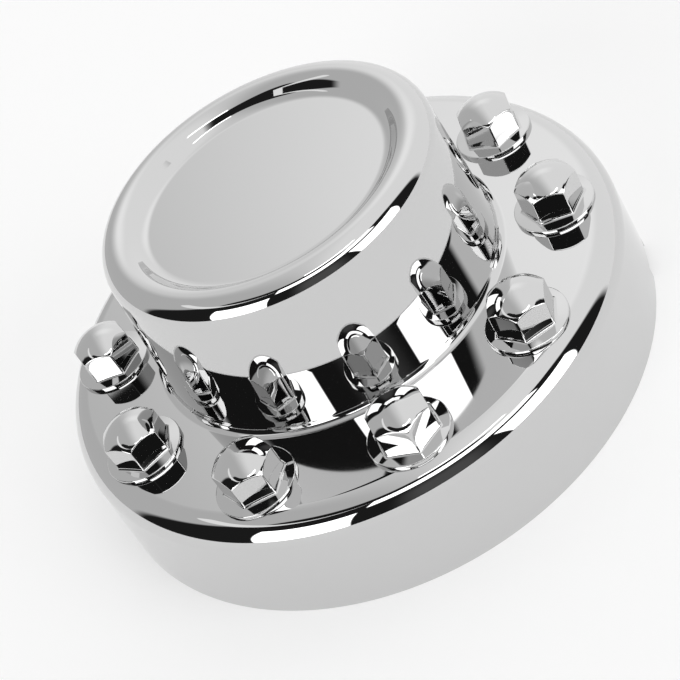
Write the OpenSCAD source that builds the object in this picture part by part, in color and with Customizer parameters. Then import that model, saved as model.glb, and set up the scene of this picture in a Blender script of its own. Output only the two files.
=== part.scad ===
// Rear axle cover: one chrome-plated ABS moulding with a deep skirt, a flat face,
// a ring of imitation wheel nuts and a tall drafted hub with a rolled, recessed end.
// Millimetres. The back rim lies on z = 0 and +Z runs along the axle, away from the wheel.

/* [Skirt] */
// Outside diameter at the back rim
rim_d = 360; // [320:1:400]
// Height from the back rim to the flat face
skirt_h = 67.4; // [40:0.2:100]
// Draft angle of the skirt
skirt_draft = 3.2; // [1:0.1:6]
// Radius of the roll between skirt and face
edge_roll_r = 16; // [6:0.5:18]
// Thickness of the moulding
wall = 3; // [2:0.1:4]

/* [Hub] */
// Diameter of the hub wall at the face
hub_foot_d = 217; // [190:0.2:230]
// Height of the hub above the face
hub_h = 92.4; // [50:0.2:110]
// Draft angle of the hub wall
hub_draft = 4.2; // [1:0.1:6]
// Radius of the fillet between hub wall and face
foot_fillet_r = 5; // [2:0.5:8]
// Radius of the roll round the hub's outer edge
hub_roll_r = 12; // [4:0.5:16]
// Width of the crest between the hub wall and the inner slope
crest_w = 16.6; // [8:0.1:22]
// Radius of the bend from the crest to the inner slope
crest_bend_r = 12.5; // [2:0.5:16]
// Width of the inner slope, seen from the front
slope_w = 9.2; // [6:0.1:20]
// Depth of the end disc below the crest
recess_h = 9.1; // [3:0.1:14]
// Radius of the bend between the inner slope and the end disc
disc_bend_r = 9.5; // [1:0.5:12]

/* [Imitation nuts] */
// Number of nuts
nut_count = 10; // [6:1:12]
// Diameter of the circle through the nuts
nut_pcd = 285.75; // [270:0.25:300]
// Angle of the first nut about the axle
nut_start = -90; // [-180:1:180]
// Width of a nut across its flats
nut_af = 31.8; // [26:0.1:36]
// Height of a nut's corners above the face
nut_h = 18.4; // [8:0.1:24]
// Rise of the dome above the corners
nut_dome_h = 8.2; // [4:0.1:12]
// Diameter over a nut's blunted corners
nut_corner_d = 35.9; // [33:0.1:37]
// Thickness of the shell round a nut
nut_wall = 2.4; // [1.5:0.1:3.5]
// Diameter of the flange round a nut
flange_d = 47.4; // [42:0.2:52]
// Thickness of the flange at its edge
flange_t = 2.4; // [1:0.1:4]
// Rise of the flange from its edge to the nut
flange_rise = 1.2; // [0.5:0.1:3]
// Radius of the flange's upper edge
flange_edge_r = 0.6; // [0.2:0.1:1]

/* [Rim notch] */
// Width of the notch in the back rim
notch_w = 28; // [10:1:40]
// Height of the notch
notch_h = 8; // [4:0.5:16]
// Angle of the notch about the axle
notch_angle = -17; // [-180:1:180]

/* [Hidden] */

rim_r = rim_d / 2;
face_r = rim_r - skirt_h * tan(skirt_draft);
foot_r = hub_foot_d / 2;
top_z = skirt_h + hub_h;
top_r = foot_r - hub_h * tan(hub_draft);
crest_r = top_r - crest_w;
disc_r = crest_r - slope_w;
disc_z = top_z - recess_h;
slope_angle = atan(recess_h / slope_w);

// Length that each bend takes up on the crest; the two share its width.
roll_len = hub_roll_r * tan((90 - hub_draft) / 2);
bend_len = crest_bend_r * tan(slope_angle / 2);
crest_fit = min(1, 0.98 * crest_w / (roll_len + bend_len));

// Corners of the outside from the axis at the end disc to the back rim, and the bend at each.
outer_path = [
    [0, disc_z],
    [disc_r, disc_z],
    [crest_r, top_z],
    [top_r, top_z],
    [foot_r, skirt_h],
    [face_r, skirt_h],
    [rim_r, 0]
];
outer_bend = [
    0,
    disc_bend_r,
    crest_bend_r * crest_fit,
    hub_roll_r * crest_fit,
    foot_fillet_r,
    edge_roll_r,
    0
];

last = len(outer_path) - 1;

function unit(v) = v / norm(v);

// Normal that points out of the material, for a path walked away from the axis.
function out_normal(a, b) = let (d = unit(b - a)) [-d[1], d[0]];

// Side to which the path turns at a corner: below zero it turns down, round a convex bend.
function turn(a, p, b) = (p - a)[0] * (b - p)[1] - (p - a)[1] * (b - p)[0];

// Corner moved inwards by t, so that both of its sides keep the distance t.
function inset_corner(a, p, b, t) =
    let (m = out_normal(a, p), n = out_normal(p, b))
    p - t * (m + n) / (1 + m * n);

// Half of the angle between the two sides of a corner.
function half_angle(a, p, b) = acos(unit(a - p) * unit(b - p)) / 2;

// Centre of the bend at a corner.
function bend_centre(a, p, b, r) =
    p + unit(unit(a - p) + unit(b - p)) * r / sin(half_angle(a, p, b));

// Ends of the bend at a corner, where it runs into the straight sides.
function bend_ends(a, p, b, r) =
    let (t = r / tan(half_angle(a, p, b)))
    [p + unit(a - p) * t, p + unit(b - p) * t];

// Inside of the shell; its last corner lies below the back rim so that the cut is open.
inner_last = outer_path[last] - wall * out_normal(outer_path[last - 1], outer_path[last]);
skirt_dir = unit(outer_path[last] - outer_path[last - 1]);
inner_path = [
    for (i = [0 : last])
        i == 0 ? [0, disc_z - wall]
        : i == last ? inner_last + skirt_dir * 2 * wall
        : inset_corner(outer_path[i - 1], outer_path[i], outer_path[i + 1], wall)
];
inner_bend = [
    for (i = [0 : last])
        i == 0 || i == last ? 0
        : turn(outer_path[i - 1], outer_path[i], outer_path[i + 1]) < 0
            ? max(0.5, outer_bend[i] - wall)
            : outer_bend[i] + wall
];

nut_r = min(nut_corner_d / 2, nut_af / 2 / cos(30));
dome_r = (nut_r * nut_r + nut_dome_h * nut_dome_h) / (2 * nut_dome_h);
dome_z = nut_h + nut_dome_h - dome_r;

// Height at which the cone of a flange would meet the nut's own axis.
cone_z = flange_t + flange_rise * flange_d / (flange_d - nut_af);

$fn = 96;

// Area between the axis and a path with its corners bent to the given radii.
module bent_area(path, bend) {
    n = len(path) - 1;
    difference() {
        union() {
            polygon(concat(
                [[0, path[n][1]]],
                [path[0]],
                [
                    for (i = [1 : n - 1])
                        each bend_ends(path[i - 1], path[i], path[i + 1], bend[i])
                ],
                [path[n]]
            ));
            for (i = [1 : n - 1])
                if (turn(path[i - 1], path[i], path[i + 1]) < 0)
                    translate(bend_centre(path[i - 1], path[i], path[i + 1], bend[i]))
                        circle(r = bend[i]);
        }
        for (i = [1 : n - 1])
            if (turn(path[i - 1], path[i], path[i + 1]) > 0)
                translate(bend_centre(path[i - 1], path[i], path[i + 1], bend[i]))
                    circle(r = bend[i]);
    }
}

// Turned shell of skirt, face, hub and end disc.
module turned_shell() {
    rotate_extrude($fn = 180)
        difference() {
            bent_area(outer_path, outer_bend);
            bent_area(inner_path, inner_bend);
        }
}

// Upright hexagonal bar with one corner on +X.
module hexagon_bar(flats, height) {
    cylinder(d = flats / cos(30), h = height, $fn = 6);
}

// Flange under a nut: a low cone with a rounded edge.
module nut_flange() {
    rotate_extrude()
        bent_area(
            [[0, cone_z], [flange_d / 2, flange_t], [flange_d / 2, -wall / 2]],
            [0, flange_edge_r, 0]
        );
}

// Outside of one nut, standing on the face at z = 0.
module nut_outside() {
    nut_flange();
    intersection() {
        translate([0, 0, -wall / 2])
            hexagon_bar(nut_af, nut_h + nut_dome_h + wall);
        translate([0, 0, -wall])
            cylinder(d = nut_corner_d, h = nut_h + nut_dome_h + 2 * wall);
        translate([0, 0, dome_z])
            sphere(r = dome_r);
    }
}

// Hollow of one nut, open through the face.
module nut_hollow() {
    intersection() {
        translate([0, 0, -2 * wall])
            hexagon_bar(nut_af - 2 * nut_wall, nut_h + nut_dome_h + 2 * wall);
        translate([0, 0, dome_z])
            sphere(r = dome_r - nut_wall);
    }
}

// Repeats its child at every nut.
module at_nuts() {
    for (k = [0 : nut_count - 1])
        rotate(nut_start + 360 / nut_count * k)
            translate([nut_pcd / 2, 0, skirt_h])
                children();
}

// Notch in the back rim.
module rim_notch() {
    rotate(notch_angle)
        translate([rim_r - 5 * wall, -notch_w / 2, -wall])
            cube([7 * wall, notch_w, notch_h + wall]);
}

module axle_cover() {
    color("silver")
        difference() {
            union() {
                turned_shell();
                at_nuts()
                    nut_outside();
            }
            at_nuts()
                nut_hollow();
            rim_notch();
        }
}

axle_cover();
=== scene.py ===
"""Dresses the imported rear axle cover: a chrome-plated ABS moulding on a pale studio floor."""

from __future__ import annotations

import logging
import math
from dataclasses import dataclass, field
from enum import Enum

import bpy
from bpy.types import Material, Mesh, Node, NodeSocket, NodeTree, Object
from mathutils import Euler, Matrix, Vector

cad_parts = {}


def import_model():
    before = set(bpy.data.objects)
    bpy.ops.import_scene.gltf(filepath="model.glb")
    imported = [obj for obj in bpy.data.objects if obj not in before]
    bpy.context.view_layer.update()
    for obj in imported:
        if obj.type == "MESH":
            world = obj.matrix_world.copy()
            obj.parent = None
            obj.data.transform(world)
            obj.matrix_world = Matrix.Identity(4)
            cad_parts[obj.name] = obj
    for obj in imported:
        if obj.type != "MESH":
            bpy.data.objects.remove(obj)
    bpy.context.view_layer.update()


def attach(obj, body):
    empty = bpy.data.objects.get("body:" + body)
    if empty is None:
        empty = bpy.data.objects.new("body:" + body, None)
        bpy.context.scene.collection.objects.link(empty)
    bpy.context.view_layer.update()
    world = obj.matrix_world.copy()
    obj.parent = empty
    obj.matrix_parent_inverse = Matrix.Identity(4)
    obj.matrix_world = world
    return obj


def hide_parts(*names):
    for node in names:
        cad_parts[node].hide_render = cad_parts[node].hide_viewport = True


LOG = logging.getLogger("axle_cover")

# Metres in a millimetre. Shapes are worked out in millimetres.
MM = 0.001
# A bend has at least this many steps, however small its angle is.
LEAST_BEND_STEPS = 3
# Distance in millimetres from a bend to the point that keeps the straight beside it flat.
HOLD_MM = 0.25
# The nuts are hexagons. The middle of a flat lies half a side's angle from a corner.
SIDES = 6
HALF_SIDE = math.radians(180 / SIDES)

# Node types of the world that are used again and again.
MATH = "ShaderNodeMath"
VECTOR_MATH = "ShaderNodeVectorMath"

Point = tuple[float, float]
Corner = tuple[float, float, float]


class Side(Enum):
    """The two sides of the moulding, each with the number of its finish."""

    SHOW = 0
    BACK = 1


def linear(hex_colour: str) -> tuple[float, float, float, float]:
    """Turns an sRGB hex colour into linear light.

    Args:
        hex_colour: Six hex digits, with or without a leading mark.

    Returns:
        Red, green, blue and an alpha of 1.
    """
    digits = hex_colour.lstrip("#")
    channels = [int(digits[i : i + 2], 16) / 255 for i in (0, 2, 4)]
    red, green, blue = (
        c / 12.92 if c <= 0.04045 else ((c + 0.055) / 1.055) ** 2.4 for c in channels
    )
    return red, green, blue, 1.0


def add_node(
    tree: NodeTree,
    kind: str,
    settings: dict[str | int, object] | None = None,
    links: dict[str | int, NodeSocket | Node] | None = None,
) -> Node:
    """Adds a node with its settings and links.

    Args:
        tree: Node tree that gets the node.
        kind: Type name of the node.
        settings: Properties of the node, or values of its inputs.
        links: What feeds the node's inputs. A node stands for its first output.

    Returns:
        The new node.
    """
    node = tree.nodes.new(kind)
    for key, value in (settings or {}).items():
        if isinstance(key, str) and hasattr(node, key) and key not in node.inputs:
            setattr(node, key, value)
        else:
            node.inputs[key].default_value = value
    for key, source in (links or {}).items():
        socket = source.outputs[0] if isinstance(source, Node) else source
        tree.links.new(socket, node.inputs[key])
    return node


def blank_material(name: str) -> tuple[Material, NodeTree]:
    """Makes a material without nodes.

    Args:
        name: Name of the material.

    Returns:
        The material and its node tree.
    """
    made = bpy.data.materials.new(name)
    made.use_nodes = True
    made.node_tree.nodes.clear()
    return made, made.node_tree


@dataclass(frozen=True)
class PlatedAbs:
    """Metal plated on injection-moulded ABS, over the relief that the mould leaves in the skin."""

    name: str
    colour: str
    roughness: float
    relief_mm: float
    relief_depth_mm: float
    relief_strength: float
    relief_detail: float
    relief_falloff: float

    def material(self) -> Material:
        """Makes the material.

        Returns:
            A metal whose reflections bend over the relief.
        """
        made, tree = blank_material(self.name)
        where = add_node(tree, "ShaderNodeTexCoord")
        relief = add_node(
            tree,
            "ShaderNodeTexNoise",
            {
                "Scale": 1 / (self.relief_mm * MM),
                "Detail": self.relief_detail,
                "Roughness": self.relief_falloff,
            },
            {"Vector": where.outputs["Object"]},
        )
        bump = add_node(
            tree,
            "ShaderNodeBump",
            {"Strength": self.relief_strength, "Distance": self.relief_depth_mm * MM},
            {"Height": relief.outputs["Fac"]},
        )
        shader = add_node(
            tree,
            "ShaderNodeBsdfPrincipled",
            {
                "Base Color": linear(self.colour),
                "Metallic": 1.0,
                "Roughness": self.roughness,
            },
            {"Normal": bump.outputs["Normal"]},
        )
        add_node(tree, "ShaderNodeOutputMaterial", links={"Surface": shader.outputs["BSDF"]})
        return made


@dataclass(frozen=True)
class ChromePlatedAbs(PlatedAbs):
    """Bright chromium of the show side, as plated on a skin from a polished mould."""

    # To the eye: a light, neutral mirror that shows the room with crisp edges. A moulded skin is
    # never quite flat, so the reflections waver very slightly, in waves of about 60 mm.
    name: str = "chrome_plated_abs_bright"
    colour: str = "#CFCFCF"
    roughness: float = 0.015
    relief_mm: float = 60.0
    relief_depth_mm: float = 0.004
    relief_strength: float = 1.0
    relief_detail: float = 0.0
    relief_falloff: float = 0.3


@dataclass(frozen=True)
class DullPlatedAbs(PlatedAbs):
    """Thin plating of the hidden side, on a skin from a spark-eroded mould."""

    # To the eye: a greyer and softer metal with a fine grain. The real grain is about 0.1 mm,
    # too fine to show, so it is drawn at 1.2 mm.
    name: str = "plated_abs_dull_back"
    colour: str = "#9FA1A4"
    roughness: float = 0.32
    relief_mm: float = 1.2
    relief_depth_mm: float = 0.05
    relief_strength: float = 0.25
    relief_detail: float = 2.0
    relief_falloff: float = 0.5


@dataclass(frozen=True)
class StudioPaper:
    """Seamless white paper of the studio floor, matt as it comes from the roll."""

    # To the eye: an even pale ground with soft shadows. The paper glows a little, which stands
    # for the light that reaches it from all sides of the tent.
    name: str = "white_studio_paper"
    colour: str = "#C8C8C8"
    lit: str = "#FFFFFF"
    glow: float = 0.42
    roughness: float = 0.9
    gloss: float = 0.0

    def material(self) -> Material:
        """Makes the material.

        Returns:
            A matt white with an even glow.
        """
        made, tree = blank_material(self.name)
        shader = add_node(
            tree,
            "ShaderNodeBsdfPrincipled",
            {
                "Base Color": linear(self.colour),
                "Roughness": self.roughness,
                "Specular IOR Level": self.gloss,
                "Emission Color": linear(self.lit),
                "Emission Strength": self.glow,
            },
        )
        add_node(tree, "ShaderNodeOutputMaterial", links={"Surface": shader.outputs["BSDF"]})
        return made


def polar(reach: float, turn: float) -> Vector:
    """Gives the point at a distance and an angle, in radians, from the middle."""
    return Vector((reach * math.cos(turn), reach * math.sin(turn)))


def bend(before: Point, corner: Point, after: Point, radius: float, step: float) -> list[Point]:
    """Rounds one corner of a profile.

    Args:
        before: Profile point before the corner.
        corner: The corner itself.
        after: Profile point after the corner.
        radius: Radius of the bend.
        step: Largest angle between points, in degrees.

    Returns:
        Points along the bend, from one straight side to the other.
    """
    here = Vector(corner)
    back = (Vector(before) - here).normalized()
    ahead = (Vector(after) - here).normalized()
    half = back.angle(ahead) / 2
    centre = here + (back + ahead).normalized() * (radius / math.sin(half))
    first = here + back * (radius / math.tan(half)) - centre
    sweep = math.pi - 2 * half
    if back.x * ahead.y - back.y * ahead.x > 0:
        sweep = -sweep
    count = max(LEAST_BEND_STEPS, math.ceil(abs(math.degrees(sweep)) / step))
    points = []
    for k in range(count + 1):
        turn = sweep * k / count
        x = first.x * math.cos(turn) - first.y * math.sin(turn)
        y = first.x * math.sin(turn) + first.y * math.cos(turn)
        points.append((centre.x + x, centre.y + y))
    return points


def follow(corners: list[Corner], step: float, pitch: float) -> list[Point]:
    """Walks along a profile with rounded corners.

    Args:
        corners: Radius, height and bend radius at each corner.
        step: Largest angle between points in a bend, in degrees.
        pitch: Largest distance between points on a straight.

    Returns:
        Points along the profile, with one close to each end of every straight.
    """
    runs: list[list[Point]] = []
    for k, (r, z, radius) in enumerate(corners):
        if 0 < k < len(corners) - 1 and radius > 0:
            runs.append(bend(corners[k - 1][:2], (r, z), corners[k + 1][:2], radius, step))
        else:
            runs.append([(r, z)])
    points = list(runs[0])
    for run in runs[1:]:
        start, end = Vector(points[-1]), Vector(run[0])
        length = (end - start).length
        near = min(HOLD_MM, length / 4)
        inner = length - 2 * near
        count = max(1, math.ceil(inner / pitch))
        spots = [near + inner * k / count for k in range(count + 1)]
        points += [tuple(start.lerp(end, spot / length)) for spot in spots]
        points += run
    return points


def closed_skin(
    columns: list[list[Vector]], shown: int, tips: tuple[float, float]
) -> tuple[list[Vector], list[list[int]], list[Side]]:
    """Joins columns of points about the axis into one closed skin.

    Args:
        columns: Points of each column, from beside the outer tip to beside the inner one.
        shown: Number of faces in a column that belong to the show side.
        tips: Heights of the outer and the inner tip on the axis.

    Returns:
        The points, the corner numbers of each face, and the side that each face is on.
    """
    points = [point for column in columns for point in column]
    faces: list[list[int]] = []
    sides: list[Side] = []
    rows = len(columns[0])
    starts = [(k * rows, (k + 1) % len(columns) * rows) for k in range(len(columns))]
    for here, there in starts:
        for i in range(rows - 1):
            faces.append([here + i, here + i + 1, there + i + 1, there + i])
            sides.append(Side.SHOW if i < shown else Side.BACK)
    for row, height, side in ((0, tips[0], Side.SHOW), (rows - 1, tips[1], Side.BACK)):
        tip = len(points)
        points.append(Vector((0, 0, height)))
        for here, there in starts:
            pair = [here + row, there + row]
            faces.append([tip, *pair] if side is Side.SHOW else [tip, *pair[::-1]])
            sides.append(side)
    return points, faces, sides


def new_mesh_object(
    name: str,
    points: list[Vector],
    faces: list[list[int]],
    sides: list[Side],
    materials: list[Material],
) -> Object:
    """Makes a smooth-shaded object.

    Args:
        name: Name of the piece.
        points: Corners in millimetres.
        faces: Corner numbers of each face.
        sides: Side that each face is on.
        materials: Finish of each side.

    Returns:
        The object, linked to the scene and in metres.
    """
    mesh = bpy.data.meshes.new(name)
    mesh.from_pydata([tuple(p * MM) for p in points], [], faces)
    mesh.polygons.foreach_set("material_index", [side.value for side in sides])
    mesh.polygons.foreach_set("use_smooth", [True] * len(faces))
    for material in materials:
        mesh.materials.append(material)
    mesh.update()
    made = bpy.data.objects.new(name, mesh)
    bpy.context.scene.collection.objects.link(made)
    return made


@dataclass
class TurnedShell:
    """Skirt, rolled edge, flat face, hub and end disc, turned about the axle in one piece."""

    rim_r: float = 180.0
    skirt_h: float = 67.4
    skirt_draft: float = 3.2
    edge_roll_r: float = 16.0
    wall: float = 3.0
    foot_r: float = 108.5
    foot_fillet_r: float = 5.0
    hub_h: float = 92.4
    hub_draft: float = 4.2
    hub_roll_r: float = 12.0
    crest_w: float = 16.6
    crest_bend_r: float = 12.5
    slope_w: float = 9.2
    recess_h: float = 9.1
    disc_bend_r: float = 9.5
    least_bend_r: float = 0.5
    notch_w: float = 28.0
    notch_h: float = 8.0
    notch_angle: float = -17.0
    # The rows beside the notch level out again at this many times its height.
    notch_reach: float = 3.0
    # Half the angle, in degrees, over which the notch's sides rise.
    notch_edge: float = 0.01
    # Columns about the axle, and how close to the notch's sides one may lie, as a share of a step.
    columns: int = 360
    column_gap: float = 0.3
    # Largest angle, in degrees, and distance between the points of each side's profile.
    show_step: float = 4.0
    show_pitch: float = 9.0
    back_step: float = 8.0
    back_pitch: float = 12.0

    @property
    def lean(self) -> float:
        """Gives how far the skirt leans in for each millimetre of height."""
        return math.tan(math.radians(self.skirt_draft))

    def outline(self) -> list[Corner]:
        """Gives the corners of the outside.

        Returns:
            Radius, height and bend radius, from the middle of the end disc to the back rim.
        """
        top = self.skirt_h + self.hub_h
        hub_r = self.foot_r - self.hub_h * math.tan(math.radians(self.hub_draft))
        crest = hub_r - self.crest_w
        disc = top - self.recess_h
        return [
            (0.0, disc, 0.0),
            (crest - self.slope_w, disc, self.disc_bend_r),
            (crest, top, self.crest_bend_r),
            (hub_r, top, self.hub_roll_r),
            (self.foot_r, self.skirt_h, self.foot_fillet_r),
            (self.rim_r - self.skirt_h * self.lean, self.skirt_h, self.edge_roll_r),
            (self.rim_r, 0.0, 0.0),
        ]

    def inside(self) -> list[Corner]:
        """Gives the corners of the back, one wall thickness in.

        Returns:
            Radius, height and bend radius, from the back rim to the middle of the end disc.
        """
        corners = self.outline()
        result = [(0.0, corners[0][1] - self.wall, 0.0)]
        for before, here, after in zip(corners, corners[1:], corners[2:]):
            first = (Vector(here[:2]) - Vector(before[:2])).normalized()
            second = (Vector(after[:2]) - Vector(here[:2])).normalized()
            normals = Vector((-first.y, first.x)), Vector((-second.y, second.x))
            shift = (normals[0] + normals[1]) / (1 + normals[0].dot(normals[1]))
            spot = Vector(here[:2]) - shift * self.wall
            convex = first.x * second.y - first.y * second.x < 0
            radius = here[2] - self.wall if convex else here[2] + self.wall
            result.append((spot.x, spot.y, max(self.least_bend_r, radius)))
        result.append((self.rim_r - self.wall * math.hypot(1, self.lean), 0.0, 0.0))
        return result[::-1]

    def angles(self) -> list[tuple[float, bool]]:
        """Spreads the columns about the axle.

        Returns:
            Angle of each column in degrees and whether it lies in the rim's notch.
        """
        half = math.degrees(math.asin(self.notch_w / 2 / self.rim_r))
        low, high = self.notch_angle - half, self.notch_angle + half
        step = 360 / self.columns
        result = []
        for k in range(self.columns):
            angle = self.notch_angle - 180 + step * k
            if min(abs(angle - low), abs(angle - high)) > self.column_gap * step:
                result.append((angle, low < angle < high))
        result += [(low - self.notch_edge, False), (low + self.notch_edge, True)]
        result += [(high - self.notch_edge, True), (high + self.notch_edge, False)]
        return sorted(result)

    def build(self, name: str, show: Material, back: Material) -> Object:
        """Builds the closed shell.

        Args:
            name: Name of the piece.
            show: Finish of the outside and the back rim.
            back: Finish of the inside.

        Returns:
            The shell.
        """
        outer = follow(self.outline(), self.show_step, self.show_pitch)
        inner = follow(self.inside(), self.back_step, self.back_pitch)
        level = self.notch_reach * self.notch_h
        columns = []
        for angle, notched in self.angles():
            column = []
            for r, z in outer[1:] + inner[:-1]:
                if notched and z < level:
                    lifted = self.notch_h + z * (level - self.notch_h) / level
                    r -= (lifted - z) * self.lean
                    z = lifted
                column.append(Vector((*polar(r, math.radians(angle)), z)))
            columns.append(column)
        skin = closed_skin(columns, len(outer) - 1, (outer[0][1], inner[-1][1]))
        return new_mesh_object(name, *skin, [show, back])


@dataclass
class ImitationNut:
    """One moulded nut: a domed hexagon on a low conical flange, hollow from behind."""

    across_flats: float = 31.8
    corner_h: float = 18.4
    dome_h: float = 8.2
    corner_r: float = 1.4
    arris_r: float = 1.1
    shell: float = 2.4
    flange_r: float = 23.7
    flange_t: float = 2.4
    flange_rise: float = 1.2
    flange_edge_r: float = 0.6
    root_r: float = 1.8
    # How deep the flange is let into the face.
    sink: float = 0.6
    # Distance from a sharp edge to the point that keeps the surface beside it flat.
    hold: float = 0.1
    # Steps round the nut, on each flat and each corner.
    flat_steps: int = 12
    corner_steps: int = 8
    # Steps of the bends from dome to flat, from flat to flange and over the flange's edge.
    arris_steps: int = 6
    root_steps: int = 5
    edge_steps: int = 4
    # Places of the points between the bends, as shares of the way.
    dome_shares: tuple[float, ...] = (0.08, 0.2, 0.35, 0.5, 0.64, 0.77, 0.88, 0.95, 0.99)
    flat_shares: tuple[float, ...] = (0.03, 0.25, 0.5, 0.75, 0.97)
    flange_shares: tuple[float, ...] = (0.05, 0.5, 0.95)
    hollow_shares: tuple[float, ...] = (0.98, 0.7, 0.4, 0.15)

    @property
    def dome_r(self) -> float:
        """Gives the radius of the dome, which runs through the sharp corners."""
        corner = self.across_flats / 2 / math.cos(HALF_SIDE)
        return (corner**2 + self.dome_h**2) / (2 * self.dome_h)

    @property
    def dome_centre(self) -> float:
        """Gives the height of the dome's centre."""
        return self.corner_h + self.dome_h - self.dome_r

    def hexagon(self) -> list[tuple[float, float]]:
        """Walks round the hexagon, whose corners are blunted and one of which lies on +X.

        Returns:
            Angle in radians and distance from the axis of each point.
        """
        reach = (self.across_flats / 2 - self.corner_r) / math.cos(HALF_SIDE)
        result = []
        for k in range(SIDES):
            here, following = 2 * HALF_SIDE * k, 2 * HALF_SIDE * (k + 1)
            walk = []
            for i in range(self.corner_steps + 1):
                turn = here + HALF_SIDE * (2 * i / self.corner_steps - 1)
                walk.append(polar(reach, here) + polar(self.corner_r, turn))
            start = walk[-1]
            end = polar(reach, following) + polar(self.corner_r, following - HALF_SIDE)
            walk += [start.lerp(end, i / self.flat_steps) for i in range(1, self.flat_steps)]
            result += [(math.atan2(point.y, point.x), point.length) for point in walk]
        return result

    def outside(self, reach: float) -> list[Point]:
        """Gives the outside of the nut on one side of its axis.

        Args:
            reach: Distance from the axis to the hexagon on that side.

        Returns:
            Points from beside the apex of the dome to the foot of the flange.
        """
        # Dome, and the arris between dome and flat.
        inward = self.dome_r - self.arris_r
        tilt = math.asin((reach - self.arris_r) / inward)
        height = self.dome_centre + inward * math.cos(tilt)
        points = []
        for share in self.dome_shares:
            lean = tilt * share
            points.append(
                (self.dome_r * math.sin(lean), self.dome_centre + self.dome_r * math.cos(lean))
            )
        for k in range(self.arris_steps + 1):
            lean = tilt + (math.pi / 2 - tilt) * k / self.arris_steps
            across = reach - self.arris_r + self.arris_r * math.sin(lean)
            points.append((across, height + self.arris_r * math.cos(lean)))
        # Flat, and the bend at its root.
        run = self.flange_r - self.across_flats / 2
        slope = math.atan2(self.flange_rise, run)
        root = self.flange_t + self.flange_rise * ((self.flange_r - reach) / run)
        root_z = root - self.root_r * math.tan(slope) + self.root_r / math.cos(slope)
        points += [(reach, height + (root_z - height) * share) for share in self.flat_shares]
        for k in range(self.root_steps + 1):
            lean = (math.pi / 2 - slope) * k / self.root_steps
            across = reach + self.root_r - self.root_r * math.cos(lean)
            points.append((across, root_z - self.root_r * math.sin(lean)))
        # Conical flange, its rounded edge and its foot.
        edge = self.flange_edge_r
        edge_z = self.flange_t + edge * math.tan(slope)
        (x, z), edge_x = points[-1], self.flange_r - edge
        for share in self.flange_shares:
            points.append((x + (edge_x - x) * share, z + (edge_z - z) * share))
        for k in range(self.edge_steps + 1):
            lean = math.pi / 2 * k / self.edge_steps
            points.append((edge_x + edge * math.sin(lean), edge_z - edge + edge * math.cos(lean)))
        return points + [(self.flange_r, self.hold), (self.flange_r, -self.sink)]

    def hollow(self, turn: float) -> list[Point]:
        """Gives the inside of the nut on one side of its axis.

        Args:
            turn: Angle of that side about the axis, in radians.

        Returns:
            Points from the foot of the hollow to beside its apex.
        """
        sector = (turn + HALF_SIDE) % (2 * HALF_SIDE) - HALF_SIDE
        reach = (self.across_flats / 2 - self.shell) / math.cos(HALF_SIDE - abs(sector))
        dome = self.dome_r - self.shell
        crown = self.dome_centre + math.sqrt(dome**2 - reach**2)
        points = [(reach, z) for z in (-self.sink, self.hold, crown - self.hold, crown)]
        for share in self.hollow_shares:
            lean = math.asin(reach / dome) * share
            points.append((dome * math.sin(lean), self.dome_centre + dome * math.cos(lean)))
        return points

    def build(self, name: str, show: Material, back: Material) -> Mesh:
        """Builds the mesh of one nut, standing on z = 0.

        Args:
            name: Name of the mesh.
            show: Finish of the outside.
            back: Finish of the hollow.

        Returns:
            The mesh, in metres.
        """
        outsides = [(turn, self.outside(reach)) for turn, reach in self.hexagon()]
        columns = [
            [Vector((*polar(r, turn), z)) for r, z in outside + self.hollow(turn)]
            for turn, outside in outsides
        ]
        tips = (self.corner_h + self.dome_h, self.dome_centre + self.dome_r - self.shell)
        skin = closed_skin(columns, len(outsides[0][1]) - 1, tips)
        made = new_mesh_object(name, *skin, [show, back])
        mesh = made.data
        bpy.data.objects.remove(made)
        return mesh


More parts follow.
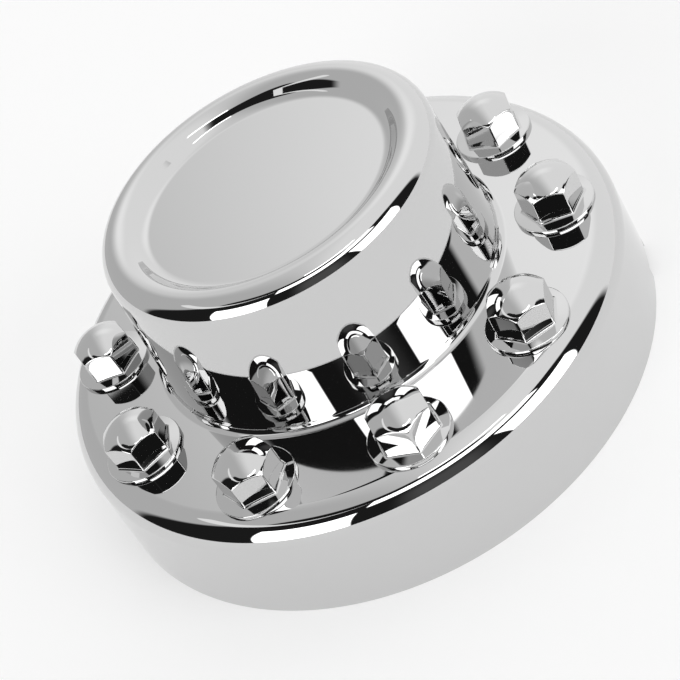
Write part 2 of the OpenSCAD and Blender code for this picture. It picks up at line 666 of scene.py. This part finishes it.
@dataclass
class AxleCover:
    """The whole moulding."""

    turned: TurnedShell = field(default_factory=TurnedShell)
    nut: ImitationNut = field(default_factory=ImitationNut)
    nut_count: int = 10
    nut_pcd: float = 285.75
    nut_start: float = -90.0
    # How far the way through the face clears the hollow of a nut on each side.
    way_clear: float = 0.05
    body: str = "root"
    slot: str = "chrome_plating"

    def places(self) -> list[Matrix]:
        """Spreads the nuts round the face.

        Returns:
            The place of each nut, in metres.
        """
        result = []
        for k in range(self.nut_count):
            turn = math.radians(self.nut_start + 360 / self.nut_count * k)
            spot = Vector((self.nut_pcd / 2, 0, self.turned.skirt_h)) * MM
            result.append(Matrix.Rotation(turn, 4, "Z") @ Matrix.Translation(spot))
        return result

    def way_cutter(self) -> Object:
        """Makes a hexagonal bar at each nut that reaches through the face into the hollow.

        Returns:
            The bars as one object.
        """
        radius = (self.nut.across_flats / 2 - self.nut.shell + self.way_clear) / math.cos(HALF_SIDE)
        points: list[Vector] = []
        faces: list[list[int]] = []
        for place in self.places():
            low = len(points)
            high = low + SIDES
            for height in (-2 * self.turned.wall, self.nut.corner_h / 4):
                for k in range(SIDES):
                    spot = Vector((*polar(radius, 2 * HALF_SIDE * k), height))
                    points.append(place @ (spot * MM) / MM)
            faces.append([low + k for k in reversed(range(SIDES))])
            faces.append([high + k for k in range(SIDES)])
            for k in range(SIDES):
                n = (k + 1) % SIDES
                faces.append([low + k, low + n, high + n, high + k])
        return new_mesh_object("hollow_cutter", points, faces, [Side.SHOW] * len(faces), [])

    def open_hollows(self, shell: Object) -> None:
        """Cuts the way into each hollow nut through the face.

        Args:
            shell: The turned shell.
        """
        cutter = self.way_cutter()
        cut = shell.modifiers.new("hollows", "BOOLEAN")
        cut.object = cutter
        cut.operation = "DIFFERENCE"
        cut.solver = "EXACT"
        graph = bpy.context.evaluated_depsgraph_get()
        mesh = bpy.data.meshes.new_from_object(shell.evaluated_get(graph))
        shell.modifiers.clear()
        old = shell.data
        shell.data = mesh
        mesh.name = shell.name
        bpy.data.meshes.remove(old)
        bpy.data.objects.remove(cutter)

    def build(self) -> list[Object]:
        """Builds every piece and hangs it on the body.

        Returns:
            The pieces, with the shell first.
        """
        show = ChromePlatedAbs().material()
        back = DullPlatedAbs().material()
        shell = self.turned.build("cover_shell", show, back)
        self.open_hollows(shell)
        pieces = [shell]
        mesh = self.nut.build("imitation_nut", show, back)
        for k, place in enumerate(self.places(), 1):
            nut = bpy.data.objects.new(f"imitation_nut_{k:02d}", mesh)
            bpy.context.scene.collection.objects.link(nut)
            nut.matrix_world = place
            pieces.append(nut)
        for piece in pieces:
            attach(piece, self.body)
            LOG.info("%s: %d faces", piece.name, len(piece.data.polygons))
        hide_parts("axle_cover")
        return pieces


@dataclass(frozen=True)
class Window:
    """A bright pane of the surroundings, in degrees round the camera side and above the table.

    Its sides lean by the given number of degrees for each degree of height.
    """

    left: float
    right: float
    low: float
    high: float
    lean_left: float = 0.0
    lean_right: float = 0.0
    light: float = 3.0


@dataclass(frozen=True)
class Patch:
    """A patch of the surroundings in degrees: an oval, or a rectangle with well rounded corners.

    Its edge is soft over the given share of its size.
    """

    turn: float
    height: float
    half_turn: float
    half_height: float
    soft: float
    light: float = 0.0
    oval: bool = False


@dataclass(frozen=True)
class Bearing:
    """The direction of a ray, as sockets of the world's node tree."""

    # How far the ray points to the right, from -1 to 1.
    sideways: NodeSocket
    # Angle round the camera side and height above the table, in degrees, and both as one vector.
    turn: NodeSocket
    height: NodeSocket
    spot: NodeSocket


@dataclass
class LightTent:
    """White tent round the table, open on a dark room behind the camera, with lit panes."""

    # Light of the tent on its left and right, and where it changes from one to the other.
    tent_left: float = 0.62
    tent_right: float = 1.05
    tent_fade: tuple[float, float] = (-0.3, 0.2)
    # The dark room, as the chrome mirrors it: its arched top, its sides and a dark ceiling panel
    # above, which draws the long streak inside the crest.
    room_light: float = 0.016
    room_top: Patch = Patch(0.0, 0.0, 212.0, 53.4, 0.001, oval=True)
    room_sides: Patch = Patch(-12.0, 0.0, 98.0, 58.0, 0.03)
    ceiling: Patch = Patch(-28.0, 50.0, 57.0, 11.3, 0.05)
    # Lit edge of the arch. It ends the dark image of the hub in the face.
    strip: Patch = Patch(-70.0, 50.5, 56.0, 2.6, 0.02, 0.5)
    # Faint light on the tent behind the part, and faint gear in the room.
    glow: Patch = Patch(168.0, 41.0, 18.0, 9.0, 0.8, 0.15)
    gear: Patch = Patch(2.0, 15.0, 15.0, 22.0, 0.5, 0.08)
    # Softbox under the arch, two tall windows below it and a narrow one high up.
    softbox: Window = Window(-30.0, 51.0, 42.5, 60.0)
    windows: tuple[Window, ...] = (
        Window(-65.5, -32.5, 0.5, 36.3, -0.13, 0.0),
        Window(28.5, 61.0, 1.0, 36.2, -0.1, 0.12),
        Window(-10.0, 46.0, 61.4, 64.5),
    )
    # Half the width of a window's soft edge, in degrees.
    edge: float = 0.5
    # What the camera itself sees behind the part.
    backdrop: float = 1.0

    def bearing(self, tree: NodeTree) -> Bearing:
        """Works out where a ray points.

        Args:
            tree: Node tree of the world.

        Returns:
            The ray's direction.
        """
        place = add_node(tree, "ShaderNodeTexCoord")
        axes = add_node(tree, "ShaderNodeSeparateXYZ", links={"Vector": place.outputs["Generated"]})
        sideways, ahead, upwards = (axes.outputs[name] for name in "XYZ")
        behind = add_node(tree, MATH, {"operation": "MULTIPLY", 1: -1.0}, {0: ahead})
        aside = add_node(tree, MATH, {"operation": "ARCTAN2"}, {0: sideways, 1: behind})
        rise = add_node(tree, MATH, {"operation": "ARCSINE"}, {0: upwards})
        turn, height = (
            add_node(tree, MATH, {"operation": "DEGREES"}, {0: angle}).outputs[0]
            for angle in (aside, rise)
        )
        spot = add_node(tree, "ShaderNodeCombineXYZ", links={"X": turn, "Y": height})
        return Bearing(sideways, turn, height, spot.outputs[0])

    def in_patch(self, tree: NodeTree, ray: Bearing, patch: Patch) -> NodeSocket:
        """Marks a patch of the surroundings.

        Args:
            tree: Node tree of the world.
            ray: Direction of the ray.
            patch: The patch.

        Returns:
            A socket that is 1 inside the patch and 0 outside.
        """
        # The way from the middle of the patch, turned to the near side and in shares of its size.
        spot = ray.spot
        for step in (
            {"operation": "SUBTRACT", 1: (patch.turn, patch.height, 0.0)},
            {"operation": "WRAP", 1: (180.0, 180.0, 1.0), 2: (-180.0, -180.0, -1.0)},
            {"operation": "DIVIDE", 1: (patch.half_turn, patch.half_height, 1.0)},
        ):
            spot = add_node(tree, VECTOR_MATH, step, {0: spot})
        # Squares under the length, and a root over it, turn the oval into a rounded rectangle.
        if not patch.oval:
            spot = add_node(tree, VECTOR_MATH, {"operation": "MULTIPLY"}, {0: spot, 1: spot})
        reach = add_node(tree, VECTOR_MATH, {"operation": "LENGTH"}, {0: spot}).outputs["Value"]
        if not patch.oval:
            reach = add_node(tree, MATH, {"operation": "SQRT"}, {0: reach})
        return add_node(
            tree,
            "ShaderNodeMapRange",
            {
                "interpolation_type": "SMOOTHSTEP",
                "From Min": 1 - patch.soft,
                "From Max": 1 + patch.soft,
                "To Min": 1.0,
                "To Max": 0.0,
            },
            {"Value": reach},
        ).outputs["Result"]

    def in_window(self, tree: NodeTree, ray: Bearing, pane: Window) -> NodeSocket:
        """Marks a window whose sides lean with the perspective.

        Args:
            tree: Node tree of the world.
            ray: Direction of the ray.
            pane: The window.

        Returns:
            A socket that is 1 inside the window and 0 outside.
        """
        left, right = (
            add_node(
                tree, MATH, {"operation": "MULTIPLY_ADD", 1: -lean}, {0: ray.height, 2: ray.turn}
            )
            for lean in (pane.lean_left, pane.lean_right)
        )
        marks = []
        for value, limit, beyond in (
            (left, pane.left, 1.0),
            (right, pane.right, 0.0),
            (ray.height, pane.low, 1.0),
            (ray.height, pane.high, 0.0),
        ):
            mark = add_node(
                tree,
                "ShaderNodeMapRange",
                {
                    "interpolation_type": "SMOOTHSTEP",
                    "From Min": limit - self.edge,
                    "From Max": limit + self.edge,
                    "To Min": 1 - beyond,
                    "To Max": beyond,
                },
                {"Value": value},
            )
            marks.append(mark.outputs["Result"])
        inside = marks[0]
        for mark in marks[1:]:
            inside = add_node(tree, MATH, {"operation": "MULTIPLY"}, {0: inside, 1: mark}).outputs[0]
        return inside

    def light(self, tree: NodeTree, ray: Bearing) -> Node | NodeSocket:
        """Works out how bright the surroundings are in the direction of a ray.

        Args:
            tree: Node tree of the world.
            ray: Direction of the ray.

        Returns:
            The strength of the light.
        """
        tent = add_node(
            tree,
            "ShaderNodeMapRange",
            {
                "interpolation_type": "SMOOTHSTEP",
                "From Min": self.tent_fade[0],
                "From Max": self.tent_fade[1],
                "To Min": self.tent_left,
                "To Max": self.tent_right,
            },
            {"Value": ray.sideways},
        )
        below, sides, ceiling, band, glow, gear = (
            self.in_patch(tree, ray, patch)
            for patch in (
                self.room_top,
                self.room_sides,
                self.ceiling,
                self.strip,
                self.glow,
                self.gear,
            )
        )
        # The strip lies above the arch and cuts into the dark ceiling.
        room = add_node(tree, MATH, {"operation": "MULTIPLY"}, {0: below, 1: sides})
        dark = add_node(tree, MATH, {"operation": "MAXIMUM"}, {0: room, 1: ceiling})
        above = add_node(tree, MATH, {"operation": "SUBTRACT", 0: 1.0}, {1: below})
        strip = add_node(tree, MATH, {"operation": "MULTIPLY"}, {0: above, 1: band})
        beside = add_node(tree, MATH, {"operation": "SUBTRACT", 0: 1.0}, {1: strip})
        unlit = add_node(tree, MATH, {"operation": "MULTIPLY"}, {0: dark, 1: beside})
        light = add_node(
            tree,
            "ShaderNodeMix",
            {"data_type": "FLOAT", "B": self.room_light},
            {"Factor": unlit, "A": tent},
        ).outputs["Result"]
        box = self.in_window(tree, ray, self.softbox)
        box = add_node(tree, MATH, {"operation": "MULTIPLY"}, {0: below, 1: box})
        lit = [(strip, self.strip), (box, self.softbox), (glow, self.glow), (gear, self.gear)]
        lit += [(self.in_window(tree, ray, pane), pane) for pane in self.windows]
        for mark, source in lit:
            light = add_node(
                tree, MATH, {"operation": "MULTIPLY_ADD", 1: source.light}, {0: mark, 2: light}
            )
        return light

    def build(self) -> None:
        """Surrounds the part with the tent."""
        world = bpy.data.worlds.new("light_tent")
        bpy.context.scene.world = world
        world.use_nodes = True
        tree = world.node_tree
        tree.nodes.clear()
        light = self.light(tree, self.bearing(tree))
        seen = add_node(tree, "ShaderNodeLightPath")
        shown = add_node(
            tree,
            "ShaderNodeMix",
            {"data_type": "FLOAT", "B": self.backdrop},
            {"Factor": seen.outputs["Is Camera Ray"], "A": light},
        )
        white = (1.0, 1.0, 1.0, 1.0)
        shining = add_node(
            tree, "ShaderNodeBackground", {"Color": white}, {"Strength": shown.outputs["Result"]}
        )
        add_node(tree, "ShaderNodeOutputWorld", links={"Surface": shining.outputs["Background"]})


@dataclass
class Studio:
    """Camera, paper floor and light tent."""

    camera_mm: tuple[float, float, float] = (14.84, -704.51, 615.96)
    camera_turn: tuple[float, float, float] = (45.3297, 24.1772, -20.0549)
    lens_mm: float = 79.838
    sensor_mm: float = 36.0
    clip_m: tuple[float, float] = (0.01, 200.0)
    floor_mm: float = 60000.0
    # Gap under the back rim, so that floor and rim don't share a plane.
    floor_gap_mm: float = 0.2
    tent: LightTent = field(default_factory=LightTent)

    def camera(self) -> None:
        """Places the camera at the photograph's viewing angle."""
        data = bpy.data.cameras.new("camera")
        data.lens = self.lens_mm
        data.sensor_width = self.sensor_mm
        data.clip_start, data.clip_end = self.clip_m
        made = bpy.data.objects.new("camera", data)
        bpy.context.scene.collection.objects.link(made)
        made.location = Vector(self.camera_mm) * MM
        made.rotation_euler = Euler([math.radians(a) for a in self.camera_turn])
        bpy.context.scene.camera = made

    def floor(self) -> None:
        """Lays the pale floor under the part."""
        half = self.floor_mm / 2
        signs = ((-1, -1), (1, -1), (1, 1), (-1, 1))
        corners = [Vector((x * half, y * half, 0)) for x, y in signs]
        paper = StudioPaper().material()
        made = new_mesh_object("floor", corners, [[0, 1, 2, 3]], [Side.SHOW], [paper])
        made.location.z = -self.floor_gap_mm * MM

    def build(self) -> None:
        """Sets up camera, floor and light."""
        self.camera()
        self.floor()
        self.tent.build()
        bpy.context.scene.view_settings.view_transform = "Standard"


def main() -> None:
    """Builds the part and its studio."""
    logging.basicConfig(level=logging.INFO, format="%(name)s %(message)s")
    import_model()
    Studio().build()
    pieces = AxleCover().build()
    LOG.info("built %d pieces", len(pieces))
    bpy.context.view_layer.update()


if __name__ == "__main__":
    main()
